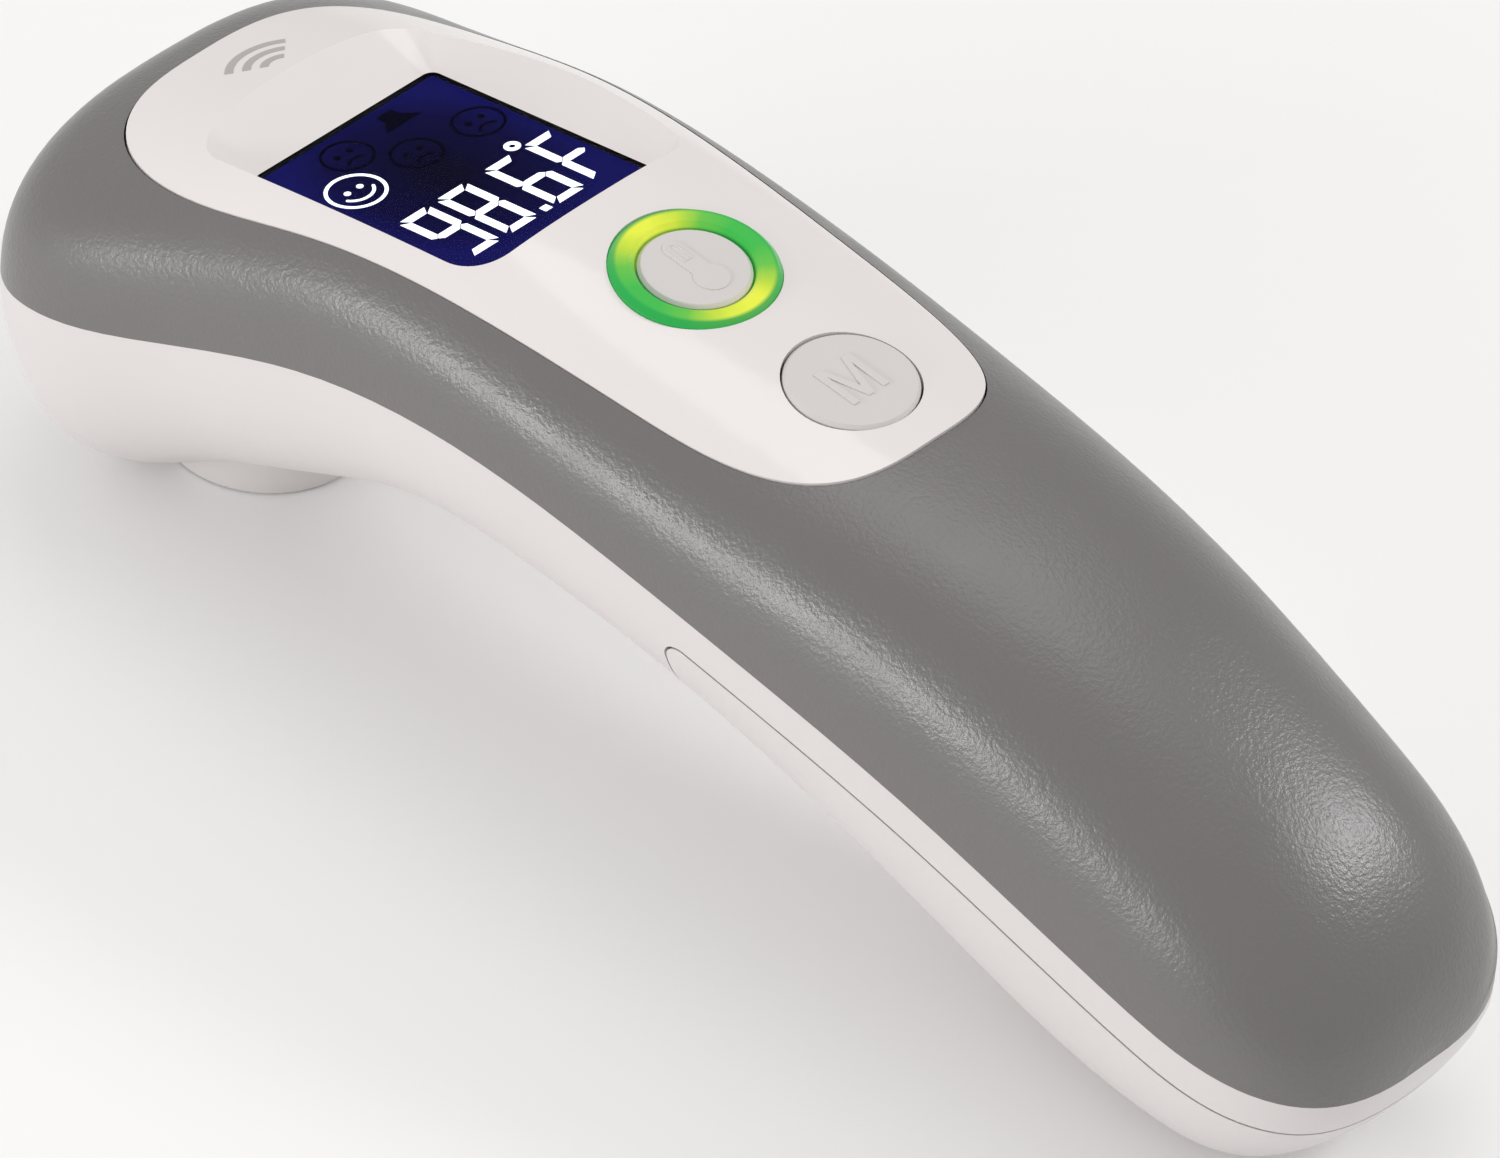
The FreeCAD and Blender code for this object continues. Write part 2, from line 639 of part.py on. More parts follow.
def make_display():
    """The display stack, from the clear window down to its board."""
    long, wide = "display_length + 2 * window_margin", "display_width + 2 * window_margin"
    half_long, half_wide = sheet_value(long) / 2, sheet_value(wide) / 2
    level = -dim("window_thickness")
    node("lcd_window", box("lcd_window", long, wide, "window_thickness", DISPLAY,
                           -half_long, -half_wide, level))
    level -= dim("gasket_thickness")
    node("lcd_gasket", frame_plate("lcd_gasket", long, wide, "display_length + 0.4",
                                   "display_width + 0.4", "gasket_thickness", DISPLAY, level))
    level -= dim("panel_thickness")
    node("lcd_panel", box("lcd_panel", long, wide, "panel_thickness", DISPLAY,
                          -half_long, -half_wide, level))
    level -= dim("backlight_thickness")
    node("lcd_backlight", box("lcd_backlight", long, wide, "backlight_thickness", DISPLAY,
                              -half_long, -half_wide, level))
    node("lcd_holder", frame_plate("lcd_holder", f"{long} + holder_fit + 2 * holder_wall",
                                   f"{wide} + holder_fit + 2 * holder_wall",
                                   f"{long} + holder_fit", f"{wide} + holder_fit",
                                   "panel_thickness + backlight_thickness", DISPLAY, level))
    level -= dim("board_thickness")
    board_half = half_long + dim("board_margin")
    node("display_board", box("display_board", f"{long} + 2 * board_margin", "2 * board_half_width",
                              "board_thickness", DISPLAY, -board_half,
                              -dim("board_half_width"), level))
    node("display_driver", box("display_driver", "driver_length", "driver_width", "chip_height",
                               DISPLAY, -dim("driver_length") / 2, -dim("driver_width") / 2,
                               level - dim("chip_height")))
    node("board_ribbon", box("board_ribbon", "ribbon_length", "ribbon_width", "contact_thickness",
                             BODY, dim("ribbon_x"), -dim("ribbon_width") / 2, dim("ribbon_z")))


# ---------------------------------------------------------------------------- the keys

def make_key(name, radius, stem_start, x):
    """A key cap with its retaining flange and stem, turned about the key's own axis."""
    corners = [
        ("0", "key_proud"),
        (f"{radius} - key_edge", "key_proud"),
        (radius, "key_proud - key_edge"),
        (radius, f"0 - {stem_start} + flange_thickness"),
        (f"{radius} + flange_width", f"0 - {stem_start} + flange_thickness"),
        (f"{radius} + flange_width", f"0 - {stem_start}"),
        ("stem_radius", f"0 - {stem_start}"),
        ("stem_radius", "switch_height - key_board_depth - stem_seat"),
        ("0", "switch_height - key_board_depth - stem_seat"),
    ]
    return node(name, turned(name, corners, at(KEYS, x)))


def make_switch(name, x):
    side = dim("switch_size")
    bottom = -dim("key_board_depth")
    case = box(name + "_case", "switch_size", "switch_size", "switch_height", KEYS,
               x - side / 2, -side / 2, bottom)
    bore = cylinder(name + "_bore", "stem_radius + key_gap", "switch_bore_depth + 1", KEYS, x, 0,
                    bottom + dim("switch_height") - dim("switch_bore_depth"))
    node(name, cut(name, case, [bore]))


def make_keys():
    make_key("measure_button", "measure_radius", "(ring_depth + 1)", MEASURE_X)
    make_key("mode_button", "mode_radius", "mode_stem_start", MODE_X)
    make_switch("measure_switch", MEASURE_X)
    make_switch("mode_switch", MODE_X)
    inner = "measure_radius + key_gap"
    node("light_ring", turned("light_ring", [
        (inner, "0 - ring_depth"), ("ring_outer", "0 - ring_depth"),
        ("ring_outer", "ring_proud - ring_edge"), ("ring_outer - ring_edge", "ring_proud"),
        (f"{inner} + ring_edge", "ring_proud"), (inner, "ring_proud - ring_edge")],
        at(KEYS, MEASURE_X)))


LED_SIZE = (1.6, 0.8, 0.7)
LED_COUNT = 4


def make_key_board():
    """The key board with its lamps, chip, sounder and screws."""
    depth = dim("key_board_depth")
    blank = plate("key_board_blank", rectangle("0 - key_board_half", "key_board_half",
                                               "board_half_width"), "board_thickness",
                  at(KEYS, z=-depth - dim("board_thickness")))
    holes = [cylinder(f"board_hole_{i}", "post_pilot + 0.2", "4", KEYS, x, y, -depth - 2)
             for i, (x, y) in enumerate(BOARD_POSTS, 1)]
    node("key_board", cut("key_board", blank, holes))
    ring_middle = (dim("ring_outer") + dim("measure_radius")) / 2
    leds = []
    for i in range(LED_COUNT):
        angle = math.radians(45 + 360 * i / LED_COUNT)
        x, y = MEASURE_X + ring_middle * math.cos(angle), ring_middle * math.sin(angle)
        length, width, height = LED_SIZE
        leds.append(box(f"led_{i + 1}", str(length), str(width), str(height), KEYS,
                        x - length / 2, y - width / 2, -depth))
    node("ring_leds", group("ring_leds", leds))
    under = -depth - dim("board_thickness")
    node("controller_chip", box("controller_chip", "chip_side", "chip_side", "chip_height", KEYS,
                                3, -dim("chip_side") / 2, under - dim("chip_height")))
    node("buzzer", cylinder("buzzer", "buzzer_radius", "buzzer_height", KEYS, -7, 0,
                            under - dim("buzzer_height")))
    screws = []
    for i, (x, y) in enumerate(BOARD_POSTS, 1):
        shank = cylinder(f"board_shank_{i}", "post_pilot - 0.02", "board_screw_length", KEYS, x, y,
                         under - 0.1)
        head = cylinder(f"board_head_{i}", "2 * post_pilot", "board_screw_head", KEYS, x, y,
                        under - dim("board_screw_head"))
        screws.append(fuse(f"board_screw_{i}", [shank, head]))
    node("board_screws", group("board_screws", screws))


# ------------------------------------------------------------------------- battery bay

SIDES = ((1, "1"), (-1, "2"))


def make_holder():
    """The cell holder under the deck: two troughs between two end walls."""
    half, wall, width = dim("bay_half"), dim("end_wall"), dim("holder_half_width")
    low = dim("holder_low")
    block = box("holder_block", "2 * ( bay_half + end_wall )", "2 * holder_half_width",
                "deck_low - 0.1 - holder_low", HANDLE, -half - wall, -width, low)
    walls = [box(f"holder_wall_{i}", "end_wall", "20", "deck_low + 0.9", HANDLE, x, -10, -1)
             for i, x in ((1, -half - wall), (2, half))]
    troughs = [cylinder(f"trough_{i}", "trough_radius", "2 * bay_half", HANDLE, -half,
                        side * dim("cell_y"), 0, ALONG_X) for side, i in SIDES]
    node("battery_holder", fuse("battery_holder",
                                [cut("holder_troughs", block, troughs)] + walls))


def spring(name, frame):
    """A pressed conical spring that stands on its frame's XY plane."""
    return turned(name, [
        ("spring_foot - spring_wall", "0"), ("spring_foot", "0"), ("spring_head", "spring_length"),
        ("spring_hole", "spring_length"), ("spring_hole", "spring_length - spring_wall"),
        ("spring_head - spring_wall", "spring_length - spring_wall")], frame)


def make_cells():
    """Two AAA cells, head to tail, each between a spring and a contact plate."""
    half = dim("bay_half")
    springs, plates = [], []
    for side, i in SIDES:
        y = side * dim("cell_y")
        turn = Rotation(Vector(0, 1, 0), 90 * side)
        foot = side * (half - dim("contact_thickness") - dim("cell_button") - dim("cell_length"))
        can = cylinder(f"cell_can_{i}", "cell_radius", "cell_length", HANDLE, foot, y, 0, turn)
        button = cylinder(f"cell_button_{i}", "cell_button_radius",
                          "cell_length + cell_button", HANDLE, foot, y, 0, turn)
        node(f"battery_{i}", fuse(f"battery_{i}", [can, button]))
        springs.append(spring(f"spring_{i}", at(HANDLE, -side * half, y, 0, turn)))
        thickness = dim("contact_thickness")
        x = half - thickness if side > 0 else -half
        plates.append(box(f"contact_{i}", "contact_thickness", "contact_width", "contact_height",
                          HANDLE, x, y - dim("contact_width") / 2, -1))
    node("battery_springs", group("battery_springs", springs))
    node("battery_contacts", group("battery_contacts", plates))


def make_case_screws():
    screws = []
    low = dim("deck_low")
    for i, (x, y) in enumerate(CASE_SCREWS, 1):
        shank = cylinder(f"case_shank_{i}", "post_pilot - 0.02", "7", HANDLE, x, y, low - 0.5)
        head = cylinder(f"case_head_{i}", "2.6 * post_pilot", "1.2", HANDLE, x, y, low - 1.2)
        screws.append(fuse(f"case_screw_{i}", [shank, head]))
    node("case_screws", group("case_screws", screws))


# -------------------------------------------------------------------------- the sensor

def make_sensor():
    """The sensor stack on the mouth's vertical axis, from the rim upwards."""
    node("mouth_bezel", turned("mouth_bezel", [
        ("bezel_bore", "0"), ("bezel_radius - 0.5", "0"), ("bezel_radius", "0.5"),
        ("bezel_radius", "bezel_height"), ("bezel_bore", "bezel_height")], MOUTH))
    node("probe_cone", turned("probe_cone", [
        ("cone_mouth", "cone_set"), ("bezel_bore - 0.03", "cone_set"),
        ("bezel_bore - 0.03", "bezel_height"), ("cone_throat", "bezel_height"),
        ("cone_throat", "sensor_base")], MOUTH))
    node("sensor_window", cylinder("sensor_window", "sensor_radius", "0.5", MOUTH,
                                   z=dim("sensor_base")))
    node("sensor_can", cylinder("sensor_can", "sensor_radius", "sensor_height", MOUTH,
                                z=dim("sensor_base") + 0.5))
    node("sensor_sleeve", turned("sensor_sleeve", [
        ("sensor_radius + 0.05", "bezel_height + 0.05"), ("sleeve_radius", "bezel_height + 0.05"),
        ("sleeve_radius", "sensor_base + sensor_height + 0.5"),
        ("sensor_radius + 0.05", "sensor_base + sensor_height + 0.5")], MOUTH))
    board_low = dim("sensor_base") + dim("sensor_height") + 0.5
    node("sensor_board", cylinder("sensor_board", "sensor_board_radius", "1", MOUTH,
                                  z=board_low))
    ribbon_low = board_low + 1
    node("sensor_ribbon", box("sensor_ribbon", "contact_thickness", "5", "16.5", MOUTH,
                              4.5, -2.5, ribbon_low))


# --------------------------------------------------------------------- build and export

def check_and_export():
    """Recompute, refuse anything failed or invalid, then write one file per node."""
    doc.recompute()
    failed = [thing.Name for thing in doc.Objects
              if "Invalid" in thing.State or "Error" in thing.State]
    if failed:
        raise RuntimeError("failed objects: " + ", ".join(failed))
    for name, thing in nodes.items():
        shape = thing.Shape
        if shape.isNull() or not shape.isValid() or not shape.Solids:
            raise RuntimeError(f"{name} has no valid solid")
    os.makedirs("parts", exist_ok=True)
    for name, thing in nodes.items():
        thing.Shape.exportStep(f"parts/{name}.step")
        print(f"{name}: {len(thing.Shape.Solids)} solid(s), {thing.Shape.Volume:.1f} mm3")


make_upper_shell()
make_lower_shell()
make_battery_door()
make_faceplate()
make_display()
make_keys()
make_key_board()
make_holder()
make_cells()
make_case_screws()
make_sensor()
check_and_export()
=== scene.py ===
"""Looks of a stick-shaped infrared thermometer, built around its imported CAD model."""

import json
import math

import bmesh
import bpy
from mathutils import Matrix, Vector
from mathutils.bvhtree import BVHTree


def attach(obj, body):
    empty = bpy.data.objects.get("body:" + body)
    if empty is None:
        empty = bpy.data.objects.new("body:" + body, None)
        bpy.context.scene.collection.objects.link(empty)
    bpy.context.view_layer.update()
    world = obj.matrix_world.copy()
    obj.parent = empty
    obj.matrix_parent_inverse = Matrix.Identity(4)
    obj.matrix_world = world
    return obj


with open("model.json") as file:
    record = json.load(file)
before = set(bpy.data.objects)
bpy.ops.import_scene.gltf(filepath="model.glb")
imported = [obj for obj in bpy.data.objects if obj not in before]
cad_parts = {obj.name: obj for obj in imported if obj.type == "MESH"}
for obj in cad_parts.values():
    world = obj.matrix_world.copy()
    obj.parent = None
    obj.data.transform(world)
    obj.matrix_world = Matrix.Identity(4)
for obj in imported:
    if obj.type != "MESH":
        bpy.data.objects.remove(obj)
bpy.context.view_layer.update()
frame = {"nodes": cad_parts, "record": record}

MM = 0.001

# ---------------------------------------------------------------- the object's own frames


def tilted(x, z, fall):
    """A frame on the symmetry plane, x and z in mm, whose X axis falls to the tail, in degrees."""
    return Matrix.Translation((x * MM, 0, z * MM)) @ Matrix.Rotation(math.radians(fall), 4, "Y")


WINDOW_THICKNESS, GASKET_THICKNESS = 0.6, 0.2
PANEL_TOP = -(WINDOW_THICKNESS + GASKET_THICKNESS)
KEY_TOP, KEY_OFFSET = 0.3, 9
DISPLAY = tilted(-37.8, 40.65, -11.3)
KEYS = tilted(-1.5, 46.9929, 2.7659)
MEASURE = KEYS @ Matrix.Translation((-KEY_OFFSET * MM, 0, 0))
MODE = KEYS @ Matrix.Translation((KEY_OFFSET * MM, 0, 0))


# ---------------------------------------------------------------- materials

class Shader:
    """A node material around one Principled shader."""

    def __init__(self, name, colour, roughness, **values):
        self.material = bpy.data.materials.new(name)
        self.material.use_nodes = True
        self.nodes = self.material.node_tree.nodes
        self.links = self.material.node_tree.links
        self.surface = self.nodes["Principled BSDF"]
        self.set(Base_Color=(*colour, 1), Roughness=roughness, **values)

    def set(self, **values):
        """Sets the shader's own sockets; an underscore stands for a space in a socket's name."""
        for key, value in values.items():
            self.surface.inputs[key.replace("_", " ")].default_value = value

    def drive(self, socket, value):
        self.links.new(value, self.surface.inputs[socket])

    def node(self, kind, **values):
        made = self.nodes.new(kind)
        for key, value in values.items():
            if hasattr(made, key):
                setattr(made, key, value)
            else:
                made.inputs[key].default_value = value
        return made

    def place(self):
        """Position on the object, in metres."""
        return self.node("ShaderNodeTexCoord").outputs["Object"]

    def place_in(self, transform):
        """X and Y of the position, in metres, in a local frame."""
        inverse = transform.inverted()
        mapping = self.node("ShaderNodeMapping", Location=inverse.to_translation(),
                            Rotation=inverse.to_euler())
        axes = self.node("ShaderNodeSeparateXYZ")
        self.links.new(self.place(), mapping.inputs["Vector"])
        self.links.new(mapping.outputs["Vector"], axes.inputs[0])
        return axes.outputs[0], axes.outputs[1]

    def noise(self, scale, detail=2.0, roughness=0.5, stretch=None):
        noise = self.node("ShaderNodeTexNoise", Scale=scale, Detail=detail, Roughness=roughness)
        place = self.place()
        if stretch:
            mapping = self.node("ShaderNodeMapping", Scale=stretch)
            self.links.new(place, mapping.inputs["Vector"])
            place = mapping.outputs["Vector"]
        self.links.new(place, noise.inputs["Vector"])
        return noise.outputs["Fac"]

    def ramp(self, factor, *stops):
        """Turns a value into a colour, or into another value, through pairs of place and result."""
        ramp = self.node("ShaderNodeValToRGB")
        elements = ramp.color_ramp.elements
        while len(elements) < len(stops):
            elements.new(0.5)
        for element, (position, colour) in zip(elements, stops):
            element.position = position
            element.color = (*colour, 1) if isinstance(colour, tuple) else (colour,) * 3 + (1,)
        self.links.new(factor, ramp.inputs["Fac"])
        return ramp.outputs["Color"]

    def math(self, operation, *values):
        made = self.node("ShaderNodeMath", operation=operation)
        for socket, value in zip(made.inputs, values):
            if isinstance(value, (int, float)):
                socket.default_value = value
            else:
                self.links.new(value, socket)
        return made.outputs[0]

    def mix(self, factor, start, colour):
        """Blends from a colour that varies to one that doesn't."""
        made = self.node("ShaderNodeMix", data_type="RGBA")
        factor_socket, start_socket, end_socket = made.inputs[0], made.inputs[6], made.inputs[7]
        self.links.new(factor, factor_socket)
        self.links.new(start, start_socket)
        end_socket.default_value = (*colour, 1)
        return made.outputs[2]

    def bump(self, height, distance):
        bump = self.node("ShaderNodeBump", Distance=distance, Strength=1.0)
        self.links.new(height, bump.inputs["Height"])
        self.drive("Normal", bump.outputs["Normal"])


def moulded(name, colour, roughness, mottle=0.03, grain=None, depth=0.0, **values):
    """Moulded plastic: faint mottling, and a grain of the given size in mm if there is one."""
    shader = Shader(name, colour, roughness, **values)
    light = tuple(c * (1 + mottle) for c in colour)
    dark = tuple(c * (1 - mottle) for c in colour)
    shader.drive("Base Color", shader.ramp(shader.noise(35, 3), (0.3, dark), (0.7, light)))
    shader.drive("Roughness", shader.ramp(shader.noise(160, 3), (0.3, roughness - 0.03),
                                          (0.7, roughness + 0.03)))
    if grain:
        shader.bump(shader.noise(1000 / grain, 2, 0.6), depth * MM)
    return shader


def metal(name, colour, roughness, brush=(1, 1, 1)):
    """Bare metal with fine streaks, stretched along the axes by the brush."""
    shader = Shader(name, colour, roughness, Metallic=1.0)
    streaks = shader.noise(900, 3, 0.6, brush)
    dull = tuple(c * 0.92 for c in colour)
    shader.drive("Roughness", shader.ramp(streaks, (0.3, roughness - 0.06),
                                          (0.7, roughness + 0.08)))
    shader.drive("Base Color", shader.ramp(streaks, (0.25, dull), (0.75, colour)))
    return shader


def display_cell():
    """Near black in the middle, bluer where the back light leaks in at the edges."""
    middle, half, squareness, root = (-2.2, 0.5), (14, 10.8), 2.4, 0.42
    shader = Shader("display_cell", (0.002, 0.002, 0.006), 0.6, Specular_IOR_Level=0.0,
                    Emission_Strength=1.0)
    powers = []
    for place, centre, reach in zip(shader.place_in(DISPLAY), middle, half):
        part = shader.math("DIVIDE", shader.math("SUBTRACT", place, centre * MM), reach * MM)
        powers.append(shader.math("POWER", shader.math("ABSOLUTE", part), squareness))
    far = shader.math("POWER", shader.math("ADD", *powers), root)
    shader.drive("Emission Color", shader.ramp(far, (0.1, (0.0035, 0.0032, 0.012)),
                                               (0.7, (0.0052, 0.0045, 0.040)),
                                               (1.0, (0.0085, 0.0080, 0.095))))
    return shader


def lit_ring():
    """Brightest over the two pairs of diodes, at its head and tail sides, darker at its rims."""
    inner, width, rim_green = 4.9, 2.6, (0.0, 0.30, 0.045)
    shader = Shader("ring_green", (0.02, 0.40, 0.03), 0.22, Coat_Weight=0.3, Coat_Roughness=0.08,
                    Emission_Strength=0.34)
    x, y = shader.place_in(MEASURE)
    radius = shader.math("SQRT", shader.math("ADD", shader.math("MULTIPLY", x, x),
                                             shader.math("MULTIPLY", y, y)))
    span = shader.math("DIVIDE", shader.math("SUBTRACT", radius, inner * MM), width * MM)
    towards_ends = shader.math("DIVIDE", shader.math("ABSOLUTE", x), radius)
    streak = shader.math("MULTIPLY_ADD", shader.noise(420, 2, 0.5), 0.16, -0.08)
    glow = shader.ramp(shader.math("ADD", towards_ends, streak), (0.25, (0.020, 0.38, 0.040)),
                       (0.62, (0.09, 0.42, 0.035)), (0.86, (0.40, 0.56, 0.02)),
                       (1.0, (0.62, 0.68, 0.03)))
    rims = shader.ramp(span, (0.02, 1.0), (0.12, 0.0), (0.66, 0.0), (0.80, 0.9), (1.0, 1.0))
    colour = shader.mix(rims, glow, rim_green)
    shader.drive("Base Color", colour)
    shader.drive("Emission Color", colour)
    return shader


KEY_GREY = moulded("key_grey", (0.66, 0.63, 0.615), 0.34, mottle=0.015, grain=0.3, depth=0.004)
GREY_INK = moulded("grey_ink", (0.44, 0.42, 0.41), 0.35)

FILTER = Shader("infrared_filter", (0.02, 0.02, 0.025), 0.08, Coat_Weight=0.6)
FILTER.drive("Roughness", FILTER.ramp(FILTER.noise(700, 3), (0.3, 0.05), (0.7, 0.12)))

# The clear plate bends light very little, so that the display shows through with no glare.
WINDOW = Shader("window_clear", (0.96, 0.97, 1.0), 0.02, Transmission_Weight=1.0, IOR=1.03)
WINDOW.drive("Roughness", WINDOW.ramp(WINDOW.noise(120, 2), (0.3, 0.0), (0.8, 0.03)))

LIT = Shader("display_lit", (0.9, 0.92, 1.0), 0.4, Emission_Color=(0.90, 0.93, 1.0, 1),
             Emission_Strength=1.0)
LIT.drive("Base Color", LIT.ramp(LIT.noise(500), (0.3, (0.86, 0.89, 1.0)),
                                 (0.7, (0.9, 0.92, 1.0))))
UNLIT = Shader("display_unlit", (0.001, 0.001, 0.003), 0.6, Specular_IOR_Level=0.0,
               Emission_Color=(0.0022, 0.0020, 0.0070, 1), Emission_Strength=1.0)
UNLIT.drive("Roughness", UNLIT.ramp(UNLIT.noise(500), (0.3, 0.57), (0.7, 0.63)))

SLOTS = {
    "upper_case_grey": moulded("case_grey", (0.150, 0.141, 0.140), 0.31, mottle=0.025,
                               grain=0.42, depth=0.06, Specular_IOR_Level=0.75),
    "case_white": moulded("case_white", (0.70, 0.665, 0.66), 0.36, mottle=0.015, grain=0.5,
                          depth=0.006),
    "face_white": moulded("face_white", (0.80, 0.755, 0.745), 0.16, mottle=0.01,
                          Coat_Weight=0.25, Coat_Roughness=0.05),
    "key_grey": KEY_GREY,
    "ring_green": lit_ring(),
    "clear_window": WINDOW,
    "display_dark": display_cell(),
    "diffuser_white": moulded("diffuser", (0.80, 0.80, 0.78), 0.45, mottle=0.01),
    "gasket_black": moulded("gasket_foam", (0.015, 0.015, 0.016), 0.85, mottle=0.2, grain=0.25,
                            depth=0.05),
    "holder_white": moulded("holder_white", (0.62, 0.61, 0.59), 0.5, grain=0.6, depth=0.01),
    "board_green": moulded("solder_mask", (0.012, 0.11, 0.04), 0.28, mottle=0.2, grain=1.2,
                           depth=0.01),
    "chip_black": moulded("chip_epoxy", (0.012, 0.012, 0.013), 0.5, mottle=0.1, grain=0.12,
                          depth=0.006),
    "led_yellow": moulded("led_resin", (0.75, 0.78, 0.25), 0.2, mottle=0.05),
    "ribbon_amber": moulded("polyimide", (0.45, 0.17, 0.02), 0.25, mottle=0.08),
    "cell_jacket": moulded("cell_jacket", (0.04, 0.05, 0.07), 0.3, mottle=0.08, Coat_Weight=0.3),
    "steel": metal("plated_steel", (0.55, 0.55, 0.56), 0.3),
    "sleeve_steel": metal("turned_sleeve", (0.50, 0.50, 0.51), 0.28, brush=(1, 1, 12)),
    "sensor_gold": metal("reflector_gold", (0.83, 0.60, 0.25), 0.18),
    "sensor_glass": FILTER,
}
for subpart in frame["record"]["subparts"]:
    skin = frame["nodes"][subpart["node"]].data
    skin.materials.clear()
    skin.materials.append(SLOTS[subpart["material_slot"]].material)


# ---------------------------------------------------------------- small flat pieces

def piece(name, mesh, shader, body, bevel=0.0):
    """Makes an object of a bmesh, in metres in the row frame, and lets it ride on a body."""
    data = bpy.data.meshes.new(name)
    bmesh.ops.recalc_face_normals(mesh, faces=mesh.faces)
    mesh.to_mesh(data)
    mesh.free()
    data.materials.append(shader.material)
    made = bpy.data.objects.new(name, data)
    bpy.context.scene.collection.objects.link(made)
    if bevel:
        soft = made.modifiers.new("soft_edges", "BEVEL")
        soft.width, soft.segments, soft.limit_method = bevel * MM, 3, "ANGLE"
        soft.angle_limit = math.radians(40)
    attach(made, body)


def add_corner(mesh, place, u, v, level):
    return mesh.verts.new(place @ Vector((u * MM, v * MM, level * MM)))


def add_tile(mesh, outline, place, low, high):
    """A flat prism on an outline in mm, between two levels of a local frame."""
    under, over = [[add_corner(mesh, place, u, v, level) for u, v in outline]
                   for level in (low, high)]
    mesh.faces.new(over)
    mesh.faces.new(under[::-1])
    count = len(outline)
    for i in range(count):
        j = (i + 1) % count
        mesh.faces.new((under[i], under[j], over[j], over[i]))


def add_band(mesh, line, width, place, low, high, closed=False):
    """A strip of one width along a line, in mm; its ends are round unless the line is closed."""
    points = [Vector(p) for p in line]
    count = len(points)
    left, right = [], []
    for i, point in enumerate(points):
        before = points[i - 1] if closed or i else point
        after = points[(i + 1) % count] if closed or i < count - 1 else point
        along = (after - before).normalized()
        side = Vector((-along.y, along.x)) * width / 2
        left.append(point + side)
        right.append(point - side)
    if closed:
        (ll, lh), (rl, rh) = [[[add_corner(mesh, place, *p, level) for p in edge]
                               for level in (low, high)] for edge in (left, right)]
        for i in range(count):
            j = (i + 1) % count
            mesh.faces.new((lh[i], lh[j], rh[j], rh[i]))
            mesh.faces.new((ll[i], rl[i], rl[j], ll[j]))
            mesh.faces.new((ll[i], ll[j], lh[j], lh[i]))
            mesh.faces.new((rl[i], rh[i], rh[j], rl[j]))
        return
    cap_steps = 8
    caps = [[end + Matrix.Rotation(math.pi * k / cap_steps, 2) @ (start - end)
             for k in range(1, cap_steps)]
            for end, start in ((points[-1], right[-1]), (points[0], left[0]))]
    add_tile(mesh, right + caps[0] + left[::-1] + caps[1], place, low, high)


def arc(u, v, radius, steps, start=0.0, sweep=360.0):
    """Points on a circle, or on part of one, in mm and degrees."""
    count = steps if sweep == 360 else steps + 1
    angles = [math.radians(start + sweep * i / steps) for i in range(count)]
    return [(u + radius * math.cos(a), v + radius * math.sin(a)) for a in angles]


# ---------------------------------------------------------------- the display's picture

DIGIT_TOP, DIGIT_HEIGHT, DIGIT_WIDTH = 0.5, 8.8, 3.6
STROKE, SLIT = 0.84, 0.07
DIGITS = ((-7.75, "abcdfg"), (-3.2, "abcdefg"), (2.55, "acdefg"), (7.4, "aefg"))
POINT_TOP, POINT_LEFT, POINT_SIDE = 8.5, 1.25, 0.8
LIT_LOW, LIT_HIGH = PANEL_TOP + 0.01, PANEL_TOP + 0.05


def segments(left, lit):
    """The outlines of a seven-segment digit; u runs down the digit and v across it."""
    height, width, s, g = DIGIT_HEIGHT, DIGIT_WIDTH, STROKE, SLIT
    middle, chamfer = height / 2, STROKE * 0.35
    shapes = {
        "a": [(0, chamfer + g), (0, width - chamfer - g), (s, width - s - g), (s, s + g)],
        "f": [(chamfer + g, 0), (s + g, s), (middle - s / 2 - g / 2, s), (middle - g / 2, s / 2),
              (middle - g / 2 - chamfer, 0)],
        "e": [(middle + g / 2 + chamfer, 0), (middle + g / 2, s / 2), (middle + s / 2 + g / 2, s),
              (height - s - g, s), (height - chamfer - g, 0)],
        "g": [(middle - s / 2, s + g), (middle - s / 2, width - s - g), (middle, width - s / 2 - g),
              (middle + s / 2, width - s - g), (middle + s / 2, s + g), (middle, s / 2 + g)],
        "d": [(height, chamfer + g), (height - s, s + g), (height - s, width - s - g),
              (height, width - chamfer - g)],
    }
    shapes["b"] = [(u, width - v) for u, v in shapes["f"]]
    shapes["c"] = [(u, width - v) for u, v in shapes["e"]]
    return [[(DIGIT_TOP + u, left + v) for u, v in shapes[name]] for name in lit]


reading = bmesh.new()
for digit_left, lit_names in DIGITS:
    for segment in segments(digit_left, lit_names):
        add_tile(reading, segment, DISPLAY, LIT_LOW, LIT_HIGH)
add_tile(reading, [(POINT_TOP, POINT_LEFT), (POINT_TOP + POINT_SIDE, POINT_LEFT),
                   (POINT_TOP + POINT_SIDE, POINT_LEFT + POINT_SIDE),
                   (POINT_TOP, POINT_LEFT + POINT_SIDE)], DISPLAY, LIT_LOW, LIT_HIGH)
add_band(reading, arc(-0.3, 7.0, 0.52, 32), 0.48, DISPLAY, LIT_LOW, LIT_HIGH, closed=True)
piece("display_reading", reading, LIT, "body")

smiley = bmesh.new()
SMILEY = DISPLAY @ Matrix.Translation((-6.0 * MM, -6.15 * MM, 0))
FACE_U, EYE_V = -0.3, 0.75
add_band(smiley, arc(0, 0, 2.6, 72), 0.34, SMILEY, LIT_LOW, LIT_HIGH, closed=True)
add_band(smiley, arc(FACE_U, 0, 1.75, 28, -62, 124), 0.3, SMILEY, LIT_LOW, LIT_HIGH)
for side in (-1, 1):
    add_tile(smiley, arc(FACE_U, side * EYE_V, 0.32, 24), SMILEY, LIT_LOW, LIT_HIGH)
piece("display_smiley", smiley, LIT, "body")

